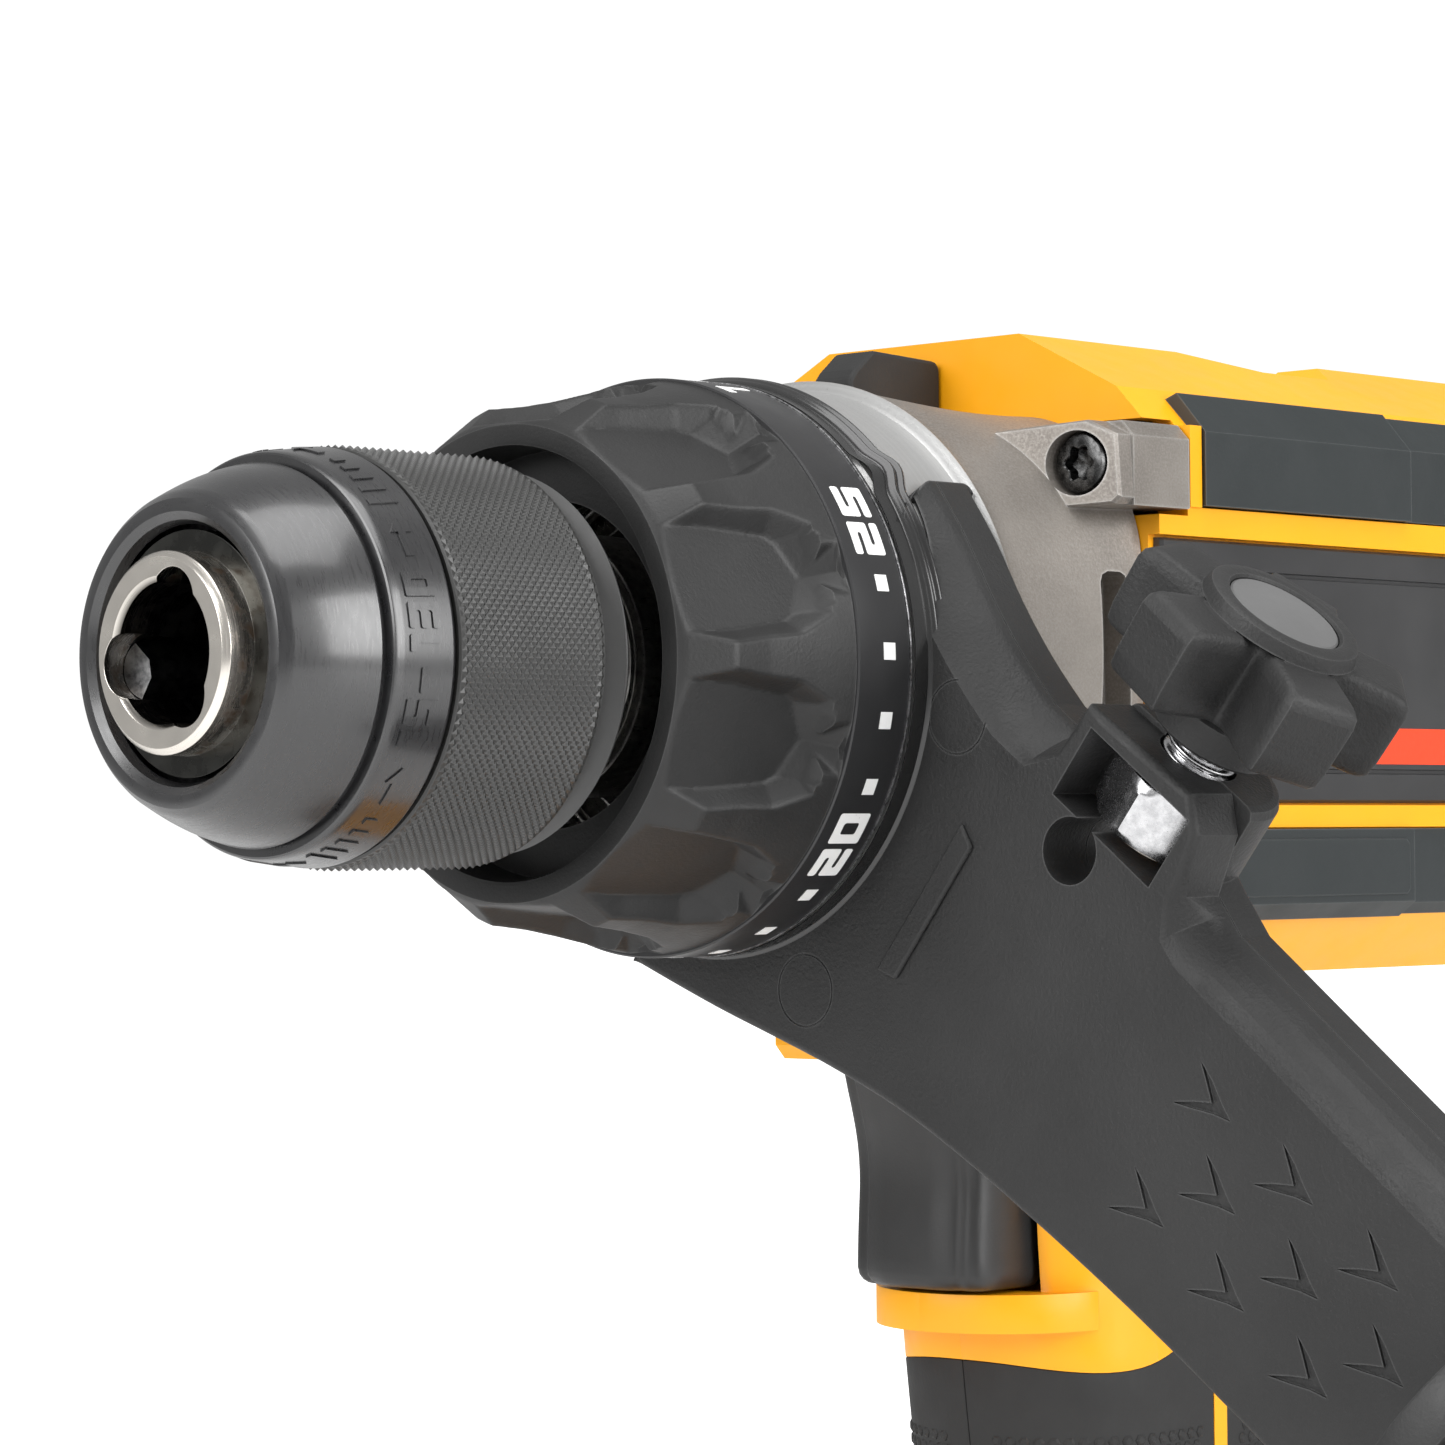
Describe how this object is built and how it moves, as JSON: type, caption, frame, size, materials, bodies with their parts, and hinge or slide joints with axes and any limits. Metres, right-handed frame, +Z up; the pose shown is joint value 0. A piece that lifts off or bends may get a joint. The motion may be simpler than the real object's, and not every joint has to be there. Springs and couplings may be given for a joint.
{
  "type": "cordless drill",
  "caption": "Battery drill driver with keyless three-jaw chuck, torque collar, two-speed gear case and clamp-on side handle.",
  "frame": {"origin": "centre of the battery's flat underside, on which the drill stands", "axes": "+X along the spindle, out of the chuck; +Y the tool's left side, where the side handle is; +Z up"},
  "size_m": [0.226, 0.2219, 0.2511],
  "materials": {
    "steel": "ground and polished chuck steel",
    "dark_steel": "blackened steel",
    "zinc": "bright zinc plated",
    "chuck_black": "gloss black, lightly worn",
    "chuck_knurl": "black with a fine diamond knurl",
    "collar_black": "matt black moulded, fine grain",
    "case_metal": "dark grey shot-blasted die casting",
    "yellow": "satin yellow glass-filled nylon",
    "rubber": "soft black overmould",
    "slate": "satin slate grey",
    "panel": "dark satin panel",
    "black_plastic": "black moulded, fine grain",
    "copper": "lacquered windings on steel laminations",
    "gear_steel": "sintered steel, oiled",
    "lens": "clear lens",
    "cell_wrap": "blue shrink wrap",
    "brass": "brass blades in black plastic"
  },
  "bodies": {
    "tool": {"gear_case": "case_metal", "gear_case_screws": "dark_steel", "output_ring_gear": "gear_steel", "input_ring_gear": "gear_steel", "spindle_bearing": "gear_steel", "clutch_plate": "gear_steel", "motor_stator": "copper", "motor_bearings": "gear_steel", "housing_left": "yellow", "housing_right": "yellow", "grip_overmould_left": "rubber", "grip_overmould_right": "rubber", "housing_screws": "dark_steel", "side_panel_left": "panel", "side_panel_right": "panel", "side_bumpers_left": "slate", "side_bumpers_right": "slate", "front_bumper": "rubber", "rear_cap": "rubber", "trigger_switch": "black_plastic", "work_light": "lens", "terminal_block": "brass", "clutch_spring": "gear_steel", "trigger_spring": "zinc"},
    "spindle_and_chuck": {"spindle": "gear_steel", "chuck_body": "steel", "chuck_rear_ring": "chuck_knurl", "chuck_screw": "dark_steel"},
    "chuck_sleeve": {"chuck_nose_sleeve": "chuck_black", "chuck_grip_sleeve": "chuck_knurl", "chuck_split_nut": "dark_steel"},
    "jaw_1": {"chuck_jaw_1": "dark_steel"},
    "jaw_2": {"chuck_jaw_2": "dark_steel"},
    "jaw_3": {"chuck_jaw_3": "dark_steel"},
    "collar": {"torque_collar": "collar_black"},
    "clutch_nut_slide": {"clutch_nut": "black_plastic"},
    "out_planet_1": {"output_planet_1": "gear_steel"},
    "out_planet_2": {"output_planet_2": "gear_steel"},
    "out_planet_3": {"output_planet_3": "gear_steel"},
    "carrier": {"input_carrier": "gear_steel"},
    "in_planet_1": {"input_planet_1": "gear_steel"},
    "in_planet_2": {"input_planet_2": "gear_steel"},
    "in_planet_3": {"input_planet_3": "gear_steel"},
    "rotor": {"motor_rotor": "gear_steel", "motor_fan": "black_plastic"},
    "speed_slider": {"speed_selector": "black_plastic"},
    "trigger_slide_body": {"trigger": "black_plastic"},
    "direction_slider": {"direction_selector": "black_plastic"},
    "battery": {"battery_case": "black_plastic", "battery_lid": "black_plastic", "battery_cells": "cell_wrap"},
    "latch": {"battery_latch": "yellow"},
    "side_handle": {"handle_front_shell": "collar_black", "handle_rear_shell": "collar_black", "clamp_band": "dark_steel", "clamp_nut": "zinc"},
    "stud": {"clamp_stud": "zinc"},
    "knob": {"clamp_knob": "collar_black"},
    "end_grip": {"handle_grip_core": "collar_black", "handle_grip_sleeve": "rubber"}
  },
  "joints": [
    {"name": "spindle_spin", "type": "hinge", "parent": "tool", "child": "spindle_and_chuck", "pos_m": [0.09, 0, 0.212], "axis": [1, 0, 0], "continuous": true},
    {"name": "chuck_sleeve_turn", "type": "hinge", "parent": "spindle_and_chuck", "child": "chuck_sleeve", "pos_m": [0.13, 0, 0.212], "axis": [1, 0, 0], "range_deg": [0, 2880]},
    {"name": "jaw_1_slide", "type": "slide", "parent": "spindle_and_chuck", "child": "jaw_1", "axis": [0.9397, -0.117, -0.3214], "range_m": [0, 0.0168]},
    {"name": "jaw_2_slide", "type": "slide", "parent": "spindle_and_chuck", "child": "jaw_2", "axis": [0.9397, 0.3368, 0.0594], "range_m": [0, 0.0168]},
    {"name": "jaw_3_slide", "type": "slide", "parent": "spindle_and_chuck", "child": "jaw_3", "axis": [0.9397, -0.2198, 0.262], "range_m": [0, 0.0168]},
    {"name": "torque_collar_turn", "type": "hinge", "parent": "tool", "child": "collar", "pos_m": [0.09, 0, 0.212], "axis": [1, 0, 0], "range_deg": [-330, 0]},
    {"name": "clutch_nut_feed", "type": "slide", "parent": "collar", "child": "clutch_nut_slide", "axis": [-1, 0, 0], "range_m": [-0.0001, 0.0011], "deforming": ["clutch_spring"]},
    {"name": "output_planet_1_spin", "type": "hinge", "parent": "spindle_and_chuck", "child": "out_planet_1", "pos_m": [0.062, 0.0135, 0.212], "axis": [1, 0, 0], "continuous": true},
    {"name": "output_planet_2_spin", "type": "hinge", "parent": "spindle_and_chuck", "child": "out_planet_2", "pos_m": [0.062, -0.00675, 0.22369], "axis": [1, 0, 0], "continuous": true},
    {"name": "output_planet_3_spin", "type": "hinge", "parent": "spindle_and_chuck", "child": "out_planet_3", "pos_m": [0.062, -0.00675, 0.20031], "axis": [1, 0, 0], "continuous": true},
    {"name": "carrier_spin", "type": "hinge", "parent": "tool", "child": "carrier", "pos_m": [0.054, 0, 0.212], "axis": [1, 0, 0], "continuous": true},
    {"name": "input_planet_1_spin", "type": "hinge", "parent": "carrier", "child": "in_planet_1", "pos_m": [0.047, 0.0135, 0.212], "axis": [1, 0, 0], "continuous": true},
    {"name": "input_planet_2_spin", "type": "hinge", "parent": "carrier", "child": "in_planet_2", "pos_m": [0.047, -0.00675, 0.22369], "axis": [1, 0, 0], "continuous": true},
    {"name": "input_planet_3_spin", "type": "hinge", "parent": "carrier", "child": "in_planet_3", "pos_m": [0.047, -0.00675, 0.20031], "axis": [1, 0, 0], "continuous": true},
    {"name": "rotor_spin", "type": "hinge", "parent": "tool", "child": "rotor", "pos_m": [0, 0, 0.212], "axis": [1, 0, 0], "continuous": true},
    {"name": "speed_selector_slide", "type": "slide", "parent": "tool", "child": "speed_slider", "axis": [-1, 0, 0], "range_m": [0, 0.008]},
    {"name": "trigger_pull", "type": "slide", "parent": "tool", "child": "trigger_slide_body", "axis": [-1, 0, 0], "range_m": [0, 0.007], "stiffness_N_per_m": 900, "springref_m": -0.004, "deforming": ["trigger_spring"]},
    {"name": "direction_selector_slide", "type": "slide", "parent": "tool", "child": "direction_slider", "axis": [0, 1, 0], "range_m": [-0.003, 0.003]},
    {"name": "battery_slide", "type": "slide", "parent": "tool", "child": "battery", "axis": [1, 0, 0], "range_m": [0, 0.09]},
    {"name": "battery_latch_press", "type": "slide", "parent": "battery", "child": "latch", "axis": [0, 0, -1], "range_m": [0, 0.0032], "stiffness_N_per_m": 2500, "springref_m": -0.002},
    {"name": "side_handle_swivel", "type": "hinge", "parent": "tool", "child": "side_handle", "pos_m": [0.0657, 0, 0.212], "axis": [1, 0, 0], "range_deg": [-30, 286]},
    {"name": "stud_feed", "type": "slide", "parent": "side_handle", "child": "stud", "axis": [0, 0.6157, 0.788], "range_m": [-0.002, 0.006]},
    {"name": "clamp_knob_turn", "type": "hinge", "parent": "stud", "child": "knob", "pos_m": [0.064, 0.05625, 0.19597], "axis": [0, 0.6157, 0.788], "range_deg": [-577, 1729]},
    {"name": "end_grip_turn", "type": "hinge", "parent": "side_handle", "child": "end_grip", "pos_m": [0.0657, 0.09456, 0.13812], "axis": [0, 0.788, -0.6157], "range_deg": [-720, 360]}
  ],
  "couplings": [
    {"joint": "jaw_1_slide", "follows": "chuck_sleeve_turn", "m_per_rad": 0.00033423},
    {"joint": "jaw_2_slide", "follows": "chuck_sleeve_turn", "m_per_rad": 0.00033423},
    {"joint": "jaw_3_slide", "follows": "chuck_sleeve_turn", "m_per_rad": 0.00033423},
    {"joint": "clutch_nut_feed", "follows": "torque_collar_turn", "m_per_rad": -0.00017362},
    {"joint": "output_planet_1_spin", "follows": "spindle_spin", "ratio": -2.6667},
    {"joint": "output_planet_2_spin", "follows": "spindle_spin", "ratio": -2.6667},
    {"joint": "output_planet_3_spin", "follows": "spindle_spin", "ratio": -2.6667},
    {"joint": "carrier_spin", "follows": "spindle_spin", "ratio": 5},
    {"joint": "input_planet_1_spin", "follows": "spindle_spin", "ratio": -13.333},
    {"joint": "input_planet_2_spin", "follows": "spindle_spin", "ratio": -13.333},
    {"joint": "input_planet_3_spin", "follows": "spindle_spin", "ratio": -13.333},
    {"joint": "rotor_spin", "follows": "spindle_spin", "ratio": 25},
    {"joint": "clamp_knob_turn", "follows": "stud_feed", "rad_per_m": 5026.5}
  ]
}
